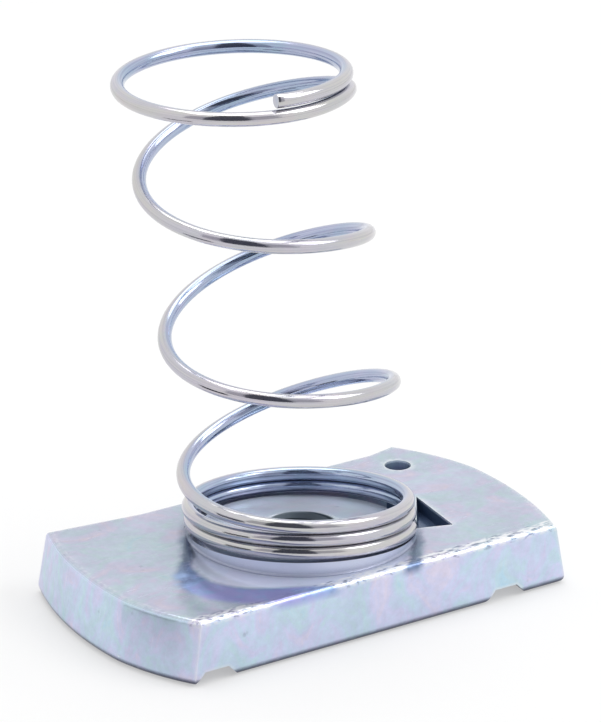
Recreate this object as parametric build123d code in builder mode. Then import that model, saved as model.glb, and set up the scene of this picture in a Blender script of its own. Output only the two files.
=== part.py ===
from build123d import *
import math
import os

os.makedirs("parts", exist_ok=True)

# Strut spring nut: a plated steel channel nut with one wire spring seated on its boss.
# Millimetres. The origin is on the threaded hole's axis, at the nut's flat underside.
# +X runs along the nut's length, +Y across it, and +Z up through the spring.

# ---- Channel that the nut is made for ----
channel_slot = 22.0           # clear width of the strut channel's mouth
channel_lip = 2.8             # thickness of the inturned lip edge that a groove takes

# ---- Channel nut: sizes of its top face, unless a name says otherwise ----
nut_thickness = 4.7
corner_reach = 15.7           # from the middle to each sharp corner, along X
swing_allowance = 2.15        # how far the circle of the two rounded corners passes that
side_margin = 1.075           # flat left between the boss's foot and each long side
end_slant = 8.4               # degrees that the ends and the grooves lie off square
hole_offset = 0.3             # how far the plate's middle lies past the hole, along X
end_radius = 30.0             # the sheared ends bow outwards
end_flare = 0.8               # how much further each end reaches at the underside
side_flare = 0.25             # the same for the long sides
nose_radius = 1.8             # rounds the ridge where a swing arc meets a long side
corner_radius = 0.8           # rounds the sharp corners
corner_spread = 0.85          # how far shearing drew out the sharp corner at -X, +Y
spread_run = 7.5              # length of the long side that this bends
top_edge_radius = 0.45
bottom_edge_radius = 0.6

groove_pitch = channel_slot + channel_lip      # between the two grooves' middles
groove_floor = 1.9
groove_mouth = 3.7
groove_depth = 0.95

thread_radius = 2.5           # M6 hole; the thread form itself is left off
mouth_depth = 0.35            # countersink at each end of the hole

# ---- Spring seat: a round boss whose top was pressed on a slope ----
seat_margin = 0.3             # how far the boss stands past the middle of the wire on it
boss_foot_radius = 0.15       # concave round where the boss meets the plate
seat_rise = 0.05              # seat height above the plate, at the hole's axis
seat_slope = 6.8              # degrees
seat_heading = 55.8           # degrees from +X that the seat falls towards
seat_clearance = 0.15         # between the boss's foot and the sunken side of the seat
pilot_height = 0.7            # the round pilot inside the spring's first turn
pilot_clearance = 0.25        # between the pilot and the wire around it
pilot_edge_radius = 0.15

# ---- Punch marks that hold the spring's first turn ----
dimple_centre = (13.15, 6.45)
dimple_radius = 1.0
dimple_depth = 0.9
swell = 0.55                  # how far the dimple pushed the long side beside it outwards
swell_run = 2.6               # length of the long side that this bends
stake_corners = ((9.8, -5.2), (10.7, 0.6), (7.2, -4.3))
stake_depth = 0.9
punch_draft = 10.0            # degrees that the punch marks narrow going down

# ---- Spring ----
wire_diameter = 1.0
wire_seating_gap = 0.01       # between the wire's first end and the seat
bottom_coil_radius = 8.0      # to the wire's middle, as are the next two
waist_coil_radius = 7.55
top_coil_radius = 8.0
closed_pitch = 1.03           # rise of a turn where the bottom coils touch
open_pitch = 11.44
top_pitch = 1.09              # the same for the top ring
first_heading = -37.6         # degrees from +X where the wire starts on the seat
closed_turns = 2.285
open_turns = 2.714
top_turns = 1.176
opening_turns = 0.34          # part of a turn over which the coils open
closing_turns = 0.2           # part of a turn over which they close again
waist_share = 0.74            # how far through the open turns the waist lies

lean_slope = 0.148            # sideways run of the coil's axis for each unit of height
lean_heading = 164.0          # degrees from +X that the spring leans towards
axis_bow = 0.82               # how far the axis bows out half-way up
axis_bow_heading = 257.0
coil_tilt = 0.144             # slope of the open coils' planes
coil_tilt_heading = 152.6     # degrees from +X that the open coils fall towards
ring_tilt = 0.02              # the same two for the top ring
ring_tilt_heading = 143.0
tilting_turns = 1.0           # turns over which the coils leave the seat's slope
levelling_turns = 1.32        # turns over which they come up to the ring's
steps_per_turn = 20


def unit(heading):
    """Direction in the XY plane, from its angle in degrees."""
    return Vector(math.cos(math.radians(heading)), math.sin(math.radians(heading)), 0)


def blend(start, end, share):
    """Value between start and end, easing in and out as share goes from 0 to 1."""
    share = min(max(share, 0.0), 1.0)
    return start + (end - start) * share * share * (3 - 2 * share)


# =====================================================================================
# Channel nut
# =====================================================================================
# The spring seat is a plane across the hole's axis that falls towards seat_heading. The
# pilot stands on it, inside the spring, and carries the hole's upper mouth.
seat_fall = math.tan(math.radians(seat_slope))
seat_height = nut_thickness + seat_rise
seat_normal = unit(seat_heading) * seat_fall + Vector(0, 0, 1)
seat = Plane(origin=(0, 0, seat_height), x_dir=unit(seat_heading - 90), z_dir=seat_normal)
boss_radius = bottom_coil_radius + seat_margin
boss_height = seat_rise + boss_radius * seat_fall + boss_foot_radius
pilot_radius = bottom_coil_radius - wire_diameter / 2 - pilot_clearance
bore_top = seat_height + pilot_height
nut_width = 2 * (boss_radius + boss_foot_radius + side_margin)
swing_radius = corner_reach + swing_allowance
slant = math.tan(math.radians(end_slant))

with BuildPart() as channel_nut:
    # The blank is a parallelogram that flares towards its underside. Two opposite corners
    # stay sharp, to stop against the channel's walls. The other two follow the swing
    # circle, so that the nut can turn in the channel.
    for level, flare in ((nut_thickness, 0), (0, 1)):
        reach = corner_reach + end_flare * flare
        half_width = nut_width / 2 + side_flare * flare
        swing = swing_radius + end_flare * flare
        # where the end, running away from its sharp corner, meets the swing circle
        square_reach = reach + half_width * slant
        half_chord = math.sqrt(swing**2 * (1 + slant**2) - square_reach**2)
        kink_y = (square_reach * slant - half_chord) / (1 + slant**2)
        kink_x = slant * kink_y - square_reach
        nose_x = -math.sqrt(swing**2 - half_width**2)
        swollen_x = math.sqrt(swing**2 - (half_width + swell) ** 2)
        with BuildSketch(Plane((hole_offset, 0, level))) as blank:
            with BuildLine():
                RadiusArc((-reach, half_width + corner_spread), (kink_x, kink_y), -end_radius)
                RadiusArc((kink_x, kink_y), (nose_x, -half_width), -swing)
                Line((nose_x, -half_width), (reach, -half_width))
                RadiusArc((reach, -half_width), (-kink_x, -kink_y), -end_radius)
                RadiusArc((-kink_x, -kink_y), (swollen_x, half_width + swell), -swing)
                Line((swollen_x, half_width + swell), (swollen_x - swell_run, half_width))
                Line((swollen_x - swell_run, half_width), (spread_run - reach, half_width))
                Line((spread_run - reach, half_width), (-reach, half_width + corner_spread))
            make_face()
            corners = blank.vertices().sort_by(lambda v: abs(v.X))
            noses, tips, kinks = corners[2:4], corners[4:6], corners[6:8]
            fillet(kinks, radius=swing_radius / 4)
            fillet(tips, radius=corner_radius)
            fillet(noses, radius=nose_radius)
    loft(ruled=True)
    fillet(channel_nut.faces().sort_by(Axis.Z)[-1].edges(), radius=top_edge_radius)
    fillet(channel_nut.faces().sort_by(Axis.Z)[0].edges(), radius=bottom_edge_radius)

    # Two grooves across the underside, parallel to the slanted ends, sit on the lips.
    across = Plane(origin=(hole_offset, 0, 0), x_dir=(1, 0, 0), z_dir=-unit(90 - end_slant))
    with BuildSketch(across):
        with Locations((-groove_pitch / 2, 0), (groove_pitch / 2, 0)):
            Polygon(
                (-groove_mouth / 2, 0),
                (groove_mouth / 2, 0),
                (groove_floor / 2, groove_depth),
                (-groove_floor / 2, groove_depth),
                align=None,
            )
    extrude(amount=nut_width, both=True, mode=Mode.SUBTRACT)

    # Punch marks in the top: a round dimple, and a three-cornered stake beside the boss.
    with BuildSketch(Plane.XY.offset(nut_thickness)):
        with Locations(dimple_centre):
            Circle(dimple_radius)
    extrude(amount=-dimple_depth, taper=punch_draft, mode=Mode.SUBTRACT)
    with BuildSketch(Plane.XY.offset(nut_thickness)):
        Polygon(*stake_corners, align=None)
    extrude(amount=-stake_depth, taper=punch_draft, mode=Mode.SUBTRACT)

    # The boss, with its concave foot, the sloping seat cut across it, and the pilot.
    boss_bottom = nut_thickness - boss_height
    boss_top = nut_thickness + boss_height
    foot_radius = boss_radius + boss_foot_radius
    with BuildSketch(Plane.XZ):
        with BuildLine():
            Polyline((0, boss_top), (0, boss_bottom), (foot_radius, boss_bottom), (foot_radius, nut_thickness))
            RadiusArc(
                (foot_radius, nut_thickness),
                (boss_radius, nut_thickness + boss_foot_radius),
                boss_foot_radius,
            )
            Polyline((boss_radius, nut_thickness + boss_foot_radius), (boss_radius, boss_top), (0, boss_top))
        make_face()
    revolve(axis=Axis.Z)
    with BuildSketch(seat):
        Circle(foot_radius + seat_clearance)
    extrude(amount=2 * boss_height, mode=Mode.SUBTRACT)
    with BuildSketch(seat):
        Circle(pilot_radius)
    extrude(amount=pilot_height)
    fillet(channel_nut.faces().sort_by(Axis.Z)[-1].edges(), radius=pilot_edge_radius)

    # The M6 hole goes right through, with a countersunk mouth at each end.
    with BuildSketch(Plane.XZ):
        with BuildLine():
            Polyline(
                (0, 0),
                (thread_radius + mouth_depth, 0),
                (thread_radius, mouth_depth),
                (thread_radius, bore_top - mouth_depth),
                (thread_radius + 3 * mouth_depth, bore_top + 2 * mouth_depth),
                (0, bore_top + 2 * mouth_depth),
                close=True,
            )
        make_face()
    revolve(axis=Axis.Z, mode=Mode.SUBTRACT)
channel_nut.part.label = "channel_nut"
export_step(channel_nut.part, "parts/channel_nut.step")


# =====================================================================================
# Spring
# =====================================================================================
# One left-hand wire: going up, it turns clockwise seen from above. Its closed turns lie on
# the sloping seat, and its open turns tilt and lean over to the nearly level top ring.
seat_tilt = unit(seat_heading) * seat_fall
open_tilt = unit(coil_tilt_heading) * coil_tilt
top_tilt = unit(ring_tilt_heading) * ring_tilt
wire_radius = wire_diameter / 2
closed_at = closed_turns + open_turns
waist_at = closed_turns + open_turns * waist_share
all_turns = closed_at + top_turns


def pitch_at(turn):
    """Rise for one whole turn of the wire, at this place along it."""
    opening = blend(closed_pitch, open_pitch, (turn - closed_turns) / opening_turns + 0.5)
    return blend(opening, top_pitch, (turn - closed_at) / closing_turns + 0.5)


def coil_radius_at(turn):
    """Radius to the wire's middle: the coils narrow to a waist and widen again."""
    below = blend(bottom_coil_radius, waist_coil_radius, (turn - closed_turns) / (waist_at - closed_turns))
    return blend(below, top_coil_radius, (turn - waist_at) / (closed_at - waist_at))


def tilt_at(turn):
    """Slope of a turn's plane: the seat's at first, then the open coils', then the ring's."""
    opened = blend(0, 1, (turn - closed_turns) / tilting_turns + 0.25)
    leaning = seat_tilt + (open_tilt - seat_tilt) * opened
    levelled = blend(0, 1, (turn - closed_at) / levelling_turns + 0.75)
    return leaning + (top_tilt - leaning) * levelled


def axis_at(rise, full_rise):
    """Where the coil's axis lies beside the hole's axis, at this rise above the seat."""
    share = rise / full_rise
    bowed = unit(axis_bow_heading) * axis_bow * 4 * share * (1 - share)
    return unit(lean_heading) * lean_slope * rise + bowed


step_count = round(all_turns * steps_per_turn)
turn_step = all_turns / step_count
rises = [(wire_radius + wire_seating_gap) / math.cos(math.radians(seat_slope))]
for step in range(step_count):
    rises.append(rises[-1] + pitch_at(turn_step * (step + 0.5)) * turn_step)

wire_points = []
for step, rise in enumerate(rises):
    turn = turn_step * step
    around = unit(first_heading - 360 * turn) * coil_radius_at(turn)
    height = seat_height + rise - around.dot(tilt_at(turn))
    wire_points.append(around + axis_at(rise, rises[-1]) + Vector(0, 0, height))

with BuildPart() as spring:
    with BuildLine():
        wire_path = Spline(*wire_points)
    with BuildSketch(Plane(origin=wire_path @ 0, z_dir=wire_path % 0)):
        Circle(wire_radius)
    sweep(path=wire_path)
spring.part.label = "spring"
export_step(spring.part, "parts/spring.step")
wire_volume = math.pi * wire_radius**2 * wire_path.length
print(f"spring volume {spring.part.volume:.2f}, section times length {wire_volume:.2f}")
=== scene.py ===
import math

import bpy
import numpy as np
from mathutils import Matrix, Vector


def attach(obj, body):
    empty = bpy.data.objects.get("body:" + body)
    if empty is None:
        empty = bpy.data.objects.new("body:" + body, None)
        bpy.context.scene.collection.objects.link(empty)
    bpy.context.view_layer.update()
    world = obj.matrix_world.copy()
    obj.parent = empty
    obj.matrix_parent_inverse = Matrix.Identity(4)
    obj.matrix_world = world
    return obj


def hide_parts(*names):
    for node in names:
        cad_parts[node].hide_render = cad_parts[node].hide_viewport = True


# Strut spring nut: a bright zinc-plated channel nut with a left-hand wire spring on it.
# Metres. The origin is on the threaded hole's axis, at the nut's flat underside.

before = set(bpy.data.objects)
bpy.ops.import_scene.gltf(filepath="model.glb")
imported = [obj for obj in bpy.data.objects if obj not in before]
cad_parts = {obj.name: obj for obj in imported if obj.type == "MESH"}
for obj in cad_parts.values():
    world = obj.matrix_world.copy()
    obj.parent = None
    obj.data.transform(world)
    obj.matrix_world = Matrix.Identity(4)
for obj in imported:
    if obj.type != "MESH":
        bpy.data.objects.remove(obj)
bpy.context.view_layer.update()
scene = bpy.context.scene
scene.view_settings.view_transform = "Standard"


# =====================================================================================
# Helpers
# =====================================================================================
def node(tree, kind, links=None, **settings):
    """Adds one shader node, sets its properties, and sets or links its inputs."""
    made = tree.nodes.new(kind)
    for name, value in settings.items():
        setattr(made, name, value)
    for key, value in (links or {}).items():
        socket = made.inputs[key]
        if isinstance(value, bpy.types.NodeSocket):
            tree.links.new(value, socket)
        else:
            socket.default_value = value
    return made


def maths(tree, operation, first, second=0.0):
    """One Math node's output."""
    return node(tree, "ShaderNodeMath", {0: first, 1: second}, operation=operation).outputs[0]


def times(tree, *values):
    """The product of two or more values."""
    made = values[0]
    for value in values[1:]:
        made = maths(tree, "MULTIPLY", made, value)
    return made


def plus(tree, *values):
    """The sum of two or more values."""
    made = values[0]
    for value in values[1:]:
        made = maths(tree, "ADD", made, value)
    return made


def vector(tree, operation, first, second=(0, 0, 0)):
    """One Vector Math node's vector output."""
    links = {0: first, 1: second}
    return node(tree, "ShaderNodeVectorMath", links, operation=operation).outputs["Vector"]


def measure(tree, operation, first, second=(0, 0, 0)):
    """One Vector Math node's number, such as a length, a distance or a dot product."""
    links = {0: first, 1: second}
    return node(tree, "ShaderNodeVectorMath", links, operation=operation).outputs["Value"]


def between(tree, value, low, high, start=0.0, end=1.0, smooth=False):
    """value carried from the range low..high to start..end, and held at both ends."""
    kind = "SMOOTHSTEP" if smooth else "LINEAR"
    made = node(
        tree,
        "ShaderNodeMapRange",
        {"Value": value, "From Min": low, "From Max": high, "To Min": start, "To Max": end},
        interpolation_type=kind,
    )
    return made.outputs["Result"]


def rounding(tree, normal, radius, flat, sharp):
    """How far a bevel of this radius turns the surface here, from flat to sharp."""
    bevel = node(tree, "ShaderNodeBevel", {"Radius": radius}, samples=6).outputs[0]
    return between(tree, measure(tree, "DOT_PRODUCT", bevel, normal), flat, sharp)


def noise(
    tree, place, scale, detail=2.0, roughness=0.5, distortion=0.0, stretch=None, turn=(0, 0, 0)
):
    """A noise value at place, stretched along the axes where stretch says so."""
    if stretch:
        place = node(
            tree,
            "ShaderNodeMapping",
            {"Vector": place, "Rotation": turn, "Scale": stretch},
        ).outputs[0]
    made = node(
        tree,
        "ShaderNodeTexNoise",
        {
            "Vector": place,
            "Scale": scale,
            "Detail": detail,
            "Roughness": roughness,
            "Distortion": distortion,
        },
    )
    return made.outputs["Fac"]


def ramp(tree, value, stops):
    """A colour ramp's colour. stops are (position, (r, g, b)) pairs."""
    made = node(tree, "ShaderNodeValToRGB", {"Fac": value})
    elements = made.color_ramp.elements
    while len(elements) < len(stops):
        elements.new(0.5)
    for element, (position, colour) in zip(elements, stops):
        element.position = position
        element.color = (*colour, 1)
    return made.outputs["Color"]


def mixed(tree, share, first, second, blend="MIX"):
    """Two colours mixed by share."""
    made = node(tree, "ShaderNodeMix", data_type="RGBA", blend_type=blend)
    for index, value in ((0, share), (6, first), (7, second)):
        socket = made.inputs[index]
        if isinstance(value, bpy.types.NodeSocket):
            tree.links.new(value, socket)
        else:
            socket.default_value = (*value, 1) if isinstance(value, tuple) else value
    return made.outputs[2]


def group(name, inputs, outputs):
    """An empty shader group with these sockets, and its input and output nodes."""
    tree = bpy.data.node_groups.new(name, "ShaderNodeTree")
    for label, kind in inputs:
        tree.interface.new_socket(label, in_out="INPUT", socket_type="NodeSocket" + kind)
    for label, kind in outputs:
        tree.interface.new_socket(label, in_out="OUTPUT", socket_type="NodeSocket" + kind)
    return tree, tree.nodes.new("NodeGroupInput"), tree.nodes.new("NodeGroupOutput")


def use(tree, shared, **links):
    """One use of a shared group in tree."""
    return node(tree, "ShaderNodeGroup", links, node_tree=shared)


def metal(name):
    """A new Principled material, and its tree, shader and coordinates."""
    made = bpy.data.materials.new(name)
    made.use_nodes = True
    tree = made.node_tree
    shader = tree.nodes["Principled BSDF"]
    place = tree.nodes.new("ShaderNodeTexCoord").outputs["Object"]
    return made, tree, shader, place


# =====================================================================================
# Zinc plating, shared by the nut and the wire
# =====================================================================================
# Clear-passivated bright zinc: blue-white, with faint cyan, lavender and straw patches a few
# millimetres across, a fine crystalline grain, and the odd pit and rub from the barrel.
plating, plating_in, plating_out = group(
    "zinc_plating",
    [("Place", "Vector")],
    [
        ("Colour", "Color"),
        ("Cloud", "Float"),
        ("Grain", "Float"),
        ("Rub", "Float"),
        ("Pit", "Float"),
    ],
)
place = plating_in.outputs["Place"]
cloud = noise(plating, place, 150.0, 3.0, 0.55, 0.6)
tint = noise(plating, place, 330.0, 4.0, 0.62, 0.8, (1.0, 1.3, 0.8), (0.4, 0.2, 0.9))
film = ramp(
    plating,
    tint,
    [
        (0.28, (0.480, 0.660, 0.770)),
        (0.38, (0.545, 0.670, 0.730)),
        (0.48, (0.570, 0.645, 0.775)),
        (0.58, (0.620, 0.610, 0.785)),
        (0.70, (0.700, 0.630, 0.750)),
    ],
)
grain = noise(plating, place, 5200.0, 2.0, 0.6)
mottle = noise(plating, place, 1400.0, 3.0, 0.7)
shade = between(plating, cloud, 0.3, 0.7, 0.92, 1.04)
shade = times(plating, shade, between(plating, mottle, 0.3, 0.7, 0.94, 1.06))
film = mixed(plating, 1.0, film, shade, "MULTIPLY")
# rubs: long thin strokes in three directions
rubs = None
for turn in ((0.1, 0.0, 0.5), (0.0, 0.2, 2.1), (1.3, 0.4, 1.2)):
    stroke = noise(plating, place, 1.0, 1.0, 0.5, 0.0, (260.0, 9000.0, 260.0), turn)
    patchy = noise(plating, place, 320.0, 1.0, 0.5, 0.0, (1, 1, 1), turn)
    stroke = between(plating, stroke, 0.70, 0.78)
    stroke = times(plating, stroke, between(plating, patchy, 0.5, 0.62))
    rubs = stroke if rubs is None else maths(plating, "MAXIMUM", rubs, stroke)
cells = node(plating, "ShaderNodeTexVoronoi", {"Vector": place, "Scale": 900.0, "Randomness": 1.0})
pit_here = between(plating, noise(plating, place, 420.0, 1.0), 0.62, 0.70)
pits = times(plating, between(plating, cells.outputs["Distance"], 0.10, 0.20, 1.0, 0.0), pit_here)
film = mixed(plating, times(plating, pits, 0.45), film, (0.25, 0.28, 0.34))
film = mixed(plating, times(plating, rubs, 0.35), film, (0.80, 0.83, 0.88))
for label, value in (
    ("Colour", film),
    ("Cloud", cloud),
    ("Grain", grain),
    ("Rub", rubs),
    ("Pit", pits),
):
    plating.links.new(value, plating_out.inputs[label])


# =====================================================================================
# Channel nut
# =====================================================================================
# Sheared and pressed from flat bar, then barrel plated. Its faces are satin, its rolled
# edges rubbed brighter with a painted highlight, and the sheared walls carry faint upright drag
# lines.
PLATE_TOP = 0.0047
BOSS = 0.0083                            # radius
BOSS_FOOT = 0.00845                      # radius where the boss's concave foot ends
PILOT = 0.0075                           # radius, with the gap to the wire round it
HOLE = 0.0025                            # radius
THREAD_PITCH = 0.001
WEAR_AND_HIGHLIGHT_WHITE, PUNCH_SHADE_NAVY = (0.86, 0.88, 0.91), (0.04, 0.08, 0.17)
BOSS_LILAC = (0.72, 0.77, 0.96)

nut_skin, tree, shader, place = metal("zinc_plate")
film = use(tree, plating, Place=place)
geometry = node(tree, "ShaderNodeNewGeometry")
normal = geometry.outputs["Normal"]
facing = node(tree, "ShaderNodeSeparateXYZ", {"Vector": normal}).outputs["Z"]
level = between(tree, maths(tree, "ABSOLUTE", facing), 0.55, 0.9, smooth=True)
spot = node(tree, "ShaderNodeSeparateXYZ", {"Vector": place})
high = spot.outputs["Z"]
out = measure(tree, "LENGTH", vector(tree, "MULTIPLY", place, (1, 1, 0)))
specks = noise(tree, place, 2300.0, 2.0, 0.6, 0.0, (0.6, 1.6, 1.0))
scuffs = noise(tree, place, 2600.0, 3.0, 0.7)

# Areas of the nut, each a mask from 0 to 1
edge = rounding(tree, normal, 0.0004, 0.995, 0.93)
shoulder_highlight = times(
    tree,
    rounding(tree, normal, 0.0009, 0.998, 0.96),
    level,
    between(tree, scuffs, 0.42, 0.56),
)
# painted shade: recesses and corners are darkened to navy by ambient occlusion
hollow = node(tree, "ShaderNodeAmbientOcclusion", {"Distance": 0.0012}, samples=8)
crevice_shade = between(tree, hollow.outputs["AO"], 0.80, 0.35)
in_hole = between(tree, out, HOLE + 0.00005, HOLE + 0.00012, 1.0, 0.0)
past_foot = between(tree, out, BOSS_FOOT - 0.00001, BOSS_FOOT + 0.00002)
short_of_foot = between(tree, out, BOSS_FOOT - 0.00001, BOSS_FOOT + 0.00002, 1.0, 0.0)
on_wall = times(
    tree,
    between(tree, out, BOSS - 0.00008, BOSS - 0.00002),
    between(tree, high, PLATE_TOP + 0.000002, PLATE_TOP + 0.00002),
)
# painted shade on the boss's foot fillet, hiding its highlight
foot_shade = times(
    tree,
    short_of_foot,
    between(tree, out, BOSS - 0.00002, BOSS + 0.00001),
    between(tree, high, PLATE_TOP + 0.00008, PLATE_TOP + 0.00016, 0.6, 0.0),
)
# the pilot's top is painted lighter and less metallic, as painted light against the coil's shade
on_pilot = times(
    tree,
    between(tree, out, PILOT - 0.0001, PILOT + 0.0001, 1.0, 0.0),
    between(tree, high, PLATE_TOP - 0.0001, PLATE_TOP),
)

# Painted shade in the punch marks, dimple first: where each is, how far it reaches, and how dark
# it is
punch_shade = None
for centre, reach, dark in (
    ((0.01315, 0.00645, PLATE_TOP), 0.0013, 0.62),
    ((0.00923, -0.00297, PLATE_TOP), 0.0043, 0.92),
):
    apart = measure(tree, "DISTANCE", place, centre)
    near = between(tree, apart, reach, reach + 0.0001, dark, 0.0)
    punch_shade = near if punch_shade is None else maths(tree, "MAXIMUM", punch_shade, near)
punch_shade = times(
    tree,
    punch_shade,
    between(tree, high, PLATE_TOP - 0.0002, PLATE_TOP - 0.00008, 1.0, 0.0),
    between(tree, out, BOSS + 0.00002, BOSS + 0.00006),
)

# Painted dark-blue shade and reflection round the front of the boss: a band in the shape of
# a rounded oblong, wider and bluer at the front left.
OBLONG = 3.4                             # 2 is an ellipse, and higher is squarer
BLUE_SHADE_ACROSS = 0.0085                     # half-width
BLUE_SHADE_FORWARD = 0.0012                    # how far its middle is in front of the hole
sideways = measure(tree, "DOT_PRODUCT", place, (0.8274, -0.5616, 0))
forward = measure(tree, "DOT_PRODUCT", place, (-0.5616, -0.8274, 0))
wander = between(tree, noise(tree, place, 420.0, 3.0, 0.6), 0.3, 0.7, -0.0003, 0.0003)
depth = between(tree, sideways, -0.004, 0.005, 0.0101, 0.0088)
across_share = maths(tree, "DIVIDE", plus(tree, sideways, wander), BLUE_SHADE_ACROSS)
along_share = maths(tree, "DIVIDE", maths(tree, "SUBTRACT", forward, BLUE_SHADE_FORWARD), depth)
across_share = maths(tree, "POWER", maths(tree, "ABSOLUTE", across_share), OBLONG)
along_share = maths(tree, "POWER", maths(tree, "ABSOLUTE", along_share), OBLONG)
blue_shade_edge = maths(tree, "POWER", plus(tree, across_share, along_share), 1 / OBLONG)
blue_shade_end = between(tree, forward, 0.005, 0.010, 1.08, 1.22)
past = maths(tree, "DIVIDE", maths(tree, "SUBTRACT", blue_shade_end, blue_shade_edge), 0.09)
blue_shade = times(
    tree,
    between(tree, blue_shade_edge, 0.91, 0.97, smooth=True),
    between(tree, past, 0.0, 1.0, smooth=True),
    between(tree, high, 0.0038, 0.0044),
    between(tree, out, BOSS - 0.00015, BOSS - 0.00005),
    between(tree, forward, -0.002, 0.001),
)
# painted reflection: the plate just in front of the boss, pale lilac and less metallic
boss_mirror_image = times(
    tree,
    between(tree, blue_shade_edge, 0.90, 0.95, 1.0, 0.0),
    past_foot,
    between(tree, forward, 0.002, 0.006),
    level,
)
tone = plus(
    tree,
    between(tree, forward, 0.004, 0.012),
    between(tree, wander, -0.0003, 0.0003, -0.3, 0.3),
)
blue_shade_colour = ramp(
    tree,
    tone,
    [
        (0.05, (0.07, 0.13, 0.22)),
        (0.45, (0.10, 0.18, 0.36)),
        (0.75, (0.30, 0.46, 0.82)),
        (0.95, (0.38, 0.38, 0.80)),
    ],
)

# Wear and painted highlight: the rounded edges are rubbed and painted lighter, with a wider
# painted highlight on the top's shoulders, apart from the foot of the boss.
wear_and_highlight = times(tree, edge, between(tree, film.outputs["Cloud"], 0.30, 0.5))
wear_and_highlight = maths(tree, "MAXIMUM", wear_and_highlight, times(tree, shoulder_highlight, between(tree, high, 0.0042, 0.0046)))
wear_and_highlight = times(tree, wear_and_highlight, maths(tree, "SUBTRACT", 1.0, on_wall))
# a painted highlight band along one long side of the top, speckled light and dark
from_side = plus(
    tree,
    maths(tree, "MULTIPLY", spot.outputs["Y"], -1.0),
    between(tree, noise(tree, place, 900.0, 2.0), 0.3, 0.7, -0.00015, 0.00015),
)
highlight_band = times(
    tree,
    between(tree, from_side, 0.00850, 0.00872),
    between(tree, high, PLATE_TOP - 0.0005, PLATE_TOP - 0.0002),
)
# painted shade: the walls darkened towards the underside, speckled
low = times(
    tree,
    between(tree, high, 0.00020, 0.00060, 1.0, 0.0),
    between(tree, specks, 0.3, 0.5, 0.65, 0.95),
)

# Colour, from the bare plating to what lies on it and the painted light and shade
# painted light: the walls lighter and bluer, the level faces darker
colour = mixed(tree, level, (1.08, 1.13, 1.17), (0.83, 0.84, 0.84))
colour = mixed(tree, 1.0, film.outputs["Colour"], colour, "MULTIPLY")
for share, tinted in (
    # painted light: the boss wall, pale lilac
    (times(tree, on_wall, 0.9), BOSS_LILAC),
    (times(tree, boss_mirror_image, 0.7), (0.74, 0.79, 0.98)),
    (times(tree, wear_and_highlight, 0.6), WEAR_AND_HIGHLIGHT_WHITE),
    (times(tree, highlight_band, between(tree, specks, 0.46, 0.56)), (0.84, 0.86, 0.89)),
    (times(tree, highlight_band, between(tree, specks, 0.36, 0.43, 0.75, 0.0)), (0.16, 0.19, 0.27)),
    (low, (0.05, 0.055, 0.09)),
    (foot_shade, (0.30, 0.33, 0.46)),
    (times(tree, blue_shade, 0.85), blue_shade_colour),
    (times(tree, crevice_shade, 0.70), (0.045, 0.06, 0.13)),
    (punch_shade, PUNCH_SHADE_NAVY),
    (times(tree, on_pilot, 0.5), (0.72, 0.78, 0.86)),
    # painted shade: the bore, near black
    (times(tree, in_hole, 0.92), (0.045, 0.075, 0.10)),
):
    colour = mixed(tree, share, colour, tinted)
tree.links.new(colour, shader.inputs["Base Color"])

metallic = between(tree, level, 0.0, 1.0, 0.58, 0.66)
metallic = maths(tree, "SUBTRACT", metallic, times(tree, on_pilot, 0.30))
# the boss wall and its painted reflection are made less metallic, as painted light
painted_light_zones = maths(tree, "MAXIMUM", on_wall, boss_mirror_image)
metallic = maths(tree, "SUBTRACT", metallic, times(tree, painted_light_zones, 0.36))
tree.links.new(metallic, shader.inputs["Metallic"])

rough = plus(
    tree,
    between(tree, film.outputs["Cloud"], 0.3, 0.7, 0.13, 0.20),
    between(tree, level, 0.0, 1.0, 0.16, 0.0),
    times(tree, film.outputs["Rub"], 0.10),
    times(tree, wear_and_highlight, -0.05),
    times(tree, in_hole, 0.2),
)
tree.links.new(rough, shader.inputs["Roughness"])

drag = noise(tree, place, 1.0, 2.0, 0.6, 0.0, (2600.0, 2600.0, 60.0))
drag = times(tree, drag, maths(tree, "SUBTRACT", 1.0, level))
height = plus(
    tree,
    times(tree, film.outputs["Grain"], 0.35),
    times(tree, film.outputs["Cloud"], 3.0),
    times(tree, drag, 0.9),
    times(tree, film.outputs["Pit"], -1.2),
    times(tree, film.outputs["Rub"], -0.5),
)
bump = node(tree, "ShaderNodeBump", {"Height": height, "Strength": 0.6, "Distance": 0.00002})

# The hole's M6 thread is right-hand, and shows in the light on the bore alone.
round_hole = maths(tree, "ARCTAN2", spot.outputs["Y"], spot.outputs["X"])
thread = maths(
    tree,
    "SUBTRACT",
    times(tree, high, 1 / THREAD_PITCH),
    maths(tree, "DIVIDE", round_hole, 2 * math.pi),
)
thread = times(tree, maths(tree, "PINGPONG", thread, 0.5), in_hole)
bump = node(
    tree,
    "ShaderNodeBump",
    {"Height": thread, "Strength": 1.0, "Distance": 0.0008, "Normal": bump.outputs["Normal"]},
)
tree.links.new(bump.outputs["Normal"], shader.inputs["Normal"])

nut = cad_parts["channel_nut"]
nut.data.materials.clear()
nut.data.materials.append(nut_skin)


# =====================================================================================
# Spring
# =====================================================================================
# One length of drawn spring wire, coiled left-hand and sheared off square at both ends.
# The wire is painted darker and bluer on the inside of the coil as shade, with fine die lines that
# run along it.
WIRE = 0.0005                                   # radius
SEAT = 0.00475                                  # seat height at the hole's axis
SEAT_SLOPE = math.radians(6.8)
BOTTOM, WAIST, TOP = 0.0080, 0.00755, 0.0080    # coil radii, to the wire's middle
CLOSED, OPEN, RING = 2.285, 2.714, 1.176        # turns
CLOSED_PITCH, OPEN_PITCH, RING_PITCH = 0.00103, 0.01144, 0.00109
OPENING, CLOSING = 0.34, 0.2                    # turns over which the pitch changes
FIRST_HEADING = -37.6                           # of the lower end, in degrees from +X
SEATING_GAP = 0.00001
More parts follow.
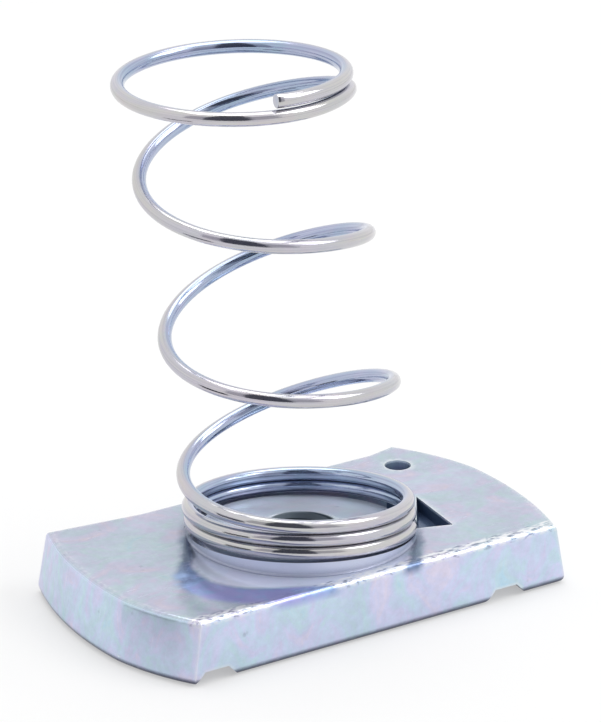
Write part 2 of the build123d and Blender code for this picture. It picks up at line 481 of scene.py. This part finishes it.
# each a heading in degrees and a slope, but for the bow, which is a length
SEAT_TILT = (55.8, math.tan(SEAT_SLOPE))
OPEN_TILT, RING_TILT = (152.6, 0.144), (143.0, 0.02)
LEAN, BOW = (164.0, 0.148), (257.0, 0.00082)
SIDES = 24
RINGS_PER_TURN = 96


def eased(start, end, share):
    """start to end, easing in and out as share goes from 0 to 1."""
    share = np.clip(share, 0, 1)
    return start + (end - start) * share * share * (3 - 2 * share)


def heading(degrees, length=1.0):
    """Flat vectors of this length in these directions, in degrees from +X."""
    turned_by = np.radians(degrees)
    return np.stack([np.cos(turned_by), np.sin(turned_by)], -1) * length


turn = np.linspace(0, CLOSED + OPEN + RING, round((CLOSED + OPEN + RING) * RINGS_PER_TURN))
ring_at = CLOSED + OPEN
waist_at = CLOSED + OPEN * 0.74
pitch = eased(CLOSED_PITCH, OPEN_PITCH, (turn - CLOSED) / OPENING + 0.5)
pitch = pitch + (RING_PITCH - pitch) * eased(0, 1, (turn - ring_at) / CLOSING + 0.5)
climb = np.concatenate([[0], np.cumsum((pitch[1:] + pitch[:-1]) / 2 * np.diff(turn))])
climb += (WIRE + SEATING_GAP) / math.cos(SEAT_SLOPE)
radius = eased(BOTTOM, WAIST, (turn - CLOSED) / (waist_at - CLOSED))
radius = radius + (TOP - radius) * eased(0, 1, (turn - waist_at) / (ring_at - waist_at))
tilt = heading(*SEAT_TILT)
tilt = tilt + (heading(*OPEN_TILT) - tilt) * eased(0, 1, turn - CLOSED + 0.25)[:, None]
tilt = tilt + (heading(*RING_TILT) - tilt) * eased(0, 1, (turn - ring_at) / 1.32 + 0.75)[:, None]
share = climb / climb[-1]
bowing = (4 * share * (1 - share))[:, None]
axis = heading(*LEAN) * climb[:, None] + heading(*BOW) * bowing
around = heading(FIRST_HEADING - 360 * turn) * radius[:, None]
line = np.column_stack([around + axis, SEAT + climb - (around * tilt).sum(1)])

ahead = np.gradient(line, axis=0)
ahead /= np.linalg.norm(ahead, axis=1)[:, None]
sideways = np.cross(ahead, (0, 0, 1))
sideways /= np.linalg.norm(sideways, axis=1)[:, None]
upward = np.cross(sideways, ahead)
along = np.concatenate([[0], np.cumsum(np.linalg.norm(np.diff(line, axis=0), axis=1))])

# Each end is cut square, with its rim broken by a hair.
cut = 0.00004
first, last = line[:1], line[-1:]
line = np.vstack([first, first + ahead[:1] * cut, line[1:-1], last - ahead[-1:] * cut, last])
width = np.full(len(line), WIRE)
width[[0, -1]] -= cut
sideways, upward = (np.vstack([v[:1], v, v[-1:]]) for v in (sideways, upward))
along = np.concatenate([along[:1], along, along[-1:]])
angle = np.linspace(0, 2 * math.pi, SIDES, endpoint=False)
rim = sideways[:, None, :] * np.cos(angle)[None, :, None]
rim = rim + upward[:, None, :] * np.sin(angle)[None, :, None]
points = line[:, None, :] + rim * width[:, None, None]
faces = []
for ring in range(len(line) - 1):
    for step in range(SIDES):
        after = (step + 1) % SIDES
        here, beyond = ring * SIDES, (ring + 1) * SIDES
        faces.append((here + step, here + after, beyond + after, beyond + step))
end_cap = (len(line) - 1) * SIDES
faces.append(tuple(range(SIDES))[::-1])
faces.append(tuple(range(end_cap, end_cap + SIDES)))
mesh = bpy.data.meshes.new("spring_wire")
mesh.from_pydata(points.reshape(-1, 3).tolist(), [], faces)
mesh.polygons.foreach_set("use_smooth", [True] * (len(faces) - 2) + [False] * 2)
grain_place = np.stack(
    np.broadcast_arrays(along[:, None], np.cos(angle)[None, :], np.sin(angle)[None, :]), -1
).reshape(-1, 3)
wire_grain = mesh.attributes.new("wire_grain", "FLOAT_VECTOR", "POINT")
wire_grain.data.foreach_set("vector", grain_place.ravel())
mesh.update()
wire = bpy.data.objects.new("spring_wire", mesh)
scene.collection.objects.link(wire)
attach(wire, "root")
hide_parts("spring")

wire_skin, tree, shader, place = metal("zinc_wire")
film = use(tree, plating, Place=place)
lengthways = node(tree, "ShaderNodeAttribute", attribute_name="wire_grain").outputs["Vector"]
lines = noise(tree, lengthways, 1.0, 3.0, 0.6, 0.0, (45.0, 7.0, 7.0))
fine = noise(tree, lengthways, 1.0, 2.0, 0.6, 0.0, (300.0, 22.0, 22.0))
geometry = node(tree, "ShaderNodeNewGeometry")
spot = node(tree, "ShaderNodeSeparateXYZ", {"Vector": place})
above = maths(tree, "SUBTRACT", spot.outputs["Z"], SEAT)
drift = node(
    tree, "ShaderNodeVectorMath", {0: (-0.142, 0.041, 0.0), 3: above}, operation="SCALE"
).outputs["Vector"]
outward = vector(tree, "SUBTRACT", place, drift)
outward = vector(tree, "NORMALIZE", vector(tree, "MULTIPLY", outward, (1, 1, 0)))
side = measure(tree, "DOT_PRODUCT", outward, geometry.outputs["Normal"])
outside = between(tree, side, -0.45, 0.35, smooth=True)
patch = noise(tree, lengthways, 1.0, 2.0, 0.5, 0.0, (160.0, 0.8, 0.8))
# painted light and shade: lighter on the coil's outside, darker and bluer inside
outside_light = mixed(tree, between(tree, patch, 0.40, 0.62), (0.57, 0.54, 0.57), (0.61, 0.58, 0.53))
inside_shade = mixed(tree, between(tree, patch, 0.38, 0.62), (0.34, 0.45, 0.60), (0.46, 0.50, 0.66))
sided_light_and_shade = mixed(tree, outside, inside_shade, outside_light)
colour = mixed(tree, 0.22, sided_light_and_shade, film.outputs["Colour"])
streak = between(tree, lines, 0.46, 0.70, 0.0, 0.30)
streak = times(tree, streak, between(tree, outside, 0.0, 1.0, 2.0, 1.0))
colour = mixed(tree, streak, colour, (0.22, 0.22, 0.38))
# painted shade: the wire darkened between strands by ambient occlusion
hollow = node(tree, "ShaderNodeAmbientOcclusion", {"Distance": 0.0005}, samples=8)
crevice_shade = between(tree, hollow.outputs["AO"], 0.70, 0.30)
colour = mixed(tree, times(tree, crevice_shade, 0.25), colour, (0.14, 0.16, 0.22))
shader.inputs["Metallic"].default_value = 0.92
rough = between(tree, lines, 0.3, 0.7, 0.07, 0.14)
height = plus(tree, lines, times(tree, fine, 0.5), times(tree, film.outputs["Grain"], 0.2))
bump = node(tree, "ShaderNodeBump", {"Height": height, "Strength": 0.4, "Distance": 0.00001})
tree.links.new(colour, shader.inputs["Base Color"])
tree.links.new(rough, shader.inputs["Roughness"])
tree.links.new(bump.outputs["Normal"], shader.inputs["Normal"])
wire.data.materials.append(wire_skin)


# =====================================================================================
# Floor, cards, lamps and camera
# =====================================================================================
# A white table under soft, even light. The light tent has a grey wall and a dark gap
# behind the camera, and a small dark flag by the left end, for the plating to mirror.
view_turn = math.radians(-34.17)
right = Vector((math.cos(view_turn), math.sin(view_turn), 0))
away = Vector((-math.sin(view_turn), math.cos(view_turn), 0))
middle = Vector((0.00035, 0.0, 0.0047))


def card(name, centre, across, up, material):
    """A flat card of the set, from its centre and its two half-edges."""
    low_edge, high_edge = centre - up, centre + up
    corners = [low_edge - across, low_edge + across, high_edge + across, high_edge - across]
    mesh = bpy.data.meshes.new(name)
    mesh.from_pydata([tuple(c) for c in corners], [], [(0, 1, 2, 3)])
    made = bpy.data.objects.new(name, mesh)
    scene.collection.objects.link(made)
    mesh.materials.append(material)
    return made


def table_material(name, colour, own_light):
    """Matt colour that the camera and the metal see lifted towards white."""
    made = bpy.data.materials.new(name)
    made.use_nodes = True
    tree = made.node_tree
    tree.nodes.remove(tree.nodes["Principled BSDF"])
    matt = node(tree, "ShaderNodeBsdfDiffuse", {"Color": (*colour, 1)})
    path = node(tree, "ShaderNodeLightPath")
    seen = maths(tree, "MAXIMUM", path.outputs["Is Camera Ray"], path.outputs["Is Glossy Ray"])
    seen = maths(tree, "MAXIMUM", seen, path.outputs["Is Transmission Ray"])
    lift = times(tree, seen, own_light)
    glow = node(tree, "ShaderNodeEmission", {"Strength": lift})
    both = node(tree, "ShaderNodeAddShader", {0: matt.outputs[0], 1: glow.outputs[0]})
    tree.links.new(both.outputs[0], tree.nodes["Material Output"].inputs["Surface"])
    return made


floor_material = table_material("white_table", (0.5, 0.5, 0.5), 0.42)
card("floor", Vector((0, 0, 0)), Vector((2, 0, 0)), Vector((0, 2, 0)), floor_material)


def seen_in_metal_only(made):
    """Keeps a card out of sight and out of the light, apart from its reflections."""
    for ray in ("camera", "diffuse", "shadow", "transmission", "volume_scatter"):
        setattr(made, "visible_" + ray, False)


def card_material(name, colour):
    """A card of one even brightness."""
    made = bpy.data.materials.new(name)
    made.use_nodes = True
    tree = made.node_tree
    tree.nodes.remove(tree.nodes["Principled BSDF"])
    glow = node(tree, "ShaderNodeEmission", {"Color": (*colour, 1), "Strength": 1.0})
    tree.links.new(glow.outputs[0], tree.nodes["Material Output"].inputs["Surface"])
    return made


up = Vector((0, 0, 1))
gap_skin = card_material("dark_gap", (0.025, 0.03, 0.055))
wall_skin = card_material("grey_wall", (0.50, 0.50, 0.54))
gap_place = middle - away * 0.6 - right * 0.06 + up * 1.1
wall_place = middle - away * 0.75 + up * 0.55
flag_place = Vector((-0.0428, 0.0005, 0.006))
for name, centre, across, upright, skin in (
    ("tent_gap", gap_place, right * 0.245, up * 1.1, gap_skin),
    ("dark_flag", flag_place, Vector((0.0, 0.010, 0.0)), up * 0.006, gap_skin),
    ("tent_wall", wall_place, right * 0.75, up * 0.5, wall_skin),
):
    seen_in_metal_only(card(name, centre, across, upright, skin))

world = bpy.data.worlds.new("studio")
scene.world = world
world.use_nodes = True
tree = world.node_tree
background = tree.nodes["Background"]
path = node(tree, "ShaderNodeLightPath")
seen = maths(tree, "MAXIMUM", path.outputs["Is Camera Ray"], path.outputs["Is Glossy Ray"])
seen = maths(tree, "MAXIMUM", seen, path.outputs["Is Transmission Ray"])
tree.links.new(between(tree, seen, 0.0, 1.0, 0.75, 1.0), background.inputs["Strength"])
background.inputs["Color"].default_value = (1, 1, 1, 1)

for name, place, size, energy in (
    ("ceiling", middle + up * 0.60 + away * 0.15, 0.45, 1.2),
    ("right", middle + right * 0.45 + up * 0.52 - away * 0.02, 0.35, 1.2),
):
    lamp = bpy.data.lights.new(name, "AREA")
    lamp.shape = "SQUARE"
    lamp.size = size
    lamp.energy = energy
    holder = bpy.data.objects.new(name, lamp)
    scene.collection.objects.link(holder)
    holder.location = place
    holder.rotation_euler = (middle - place).to_track_quat("-Z", "Y").to_euler()

# The camera looks down on the nut's front left corner, with the nut low in the frame.
camera_data = bpy.data.cameras.new("camera")
camera_data.sensor_fit = "HORIZONTAL"
camera_data.sensor_width = 36.0
camera_data.lens = 238.17
camera_data.clip_start = 0.01
camera = bpy.data.objects.new("camera", camera_data)
scene.collection.objects.link(camera)
rise = math.radians(23.0)
camera.location = middle + (up * math.sin(rise) - away * math.cos(rise)) * 0.29
camera.rotation_euler = (math.radians(90 - 20.57), 0, view_turn + math.radians(0.082))
scene.camera = camera
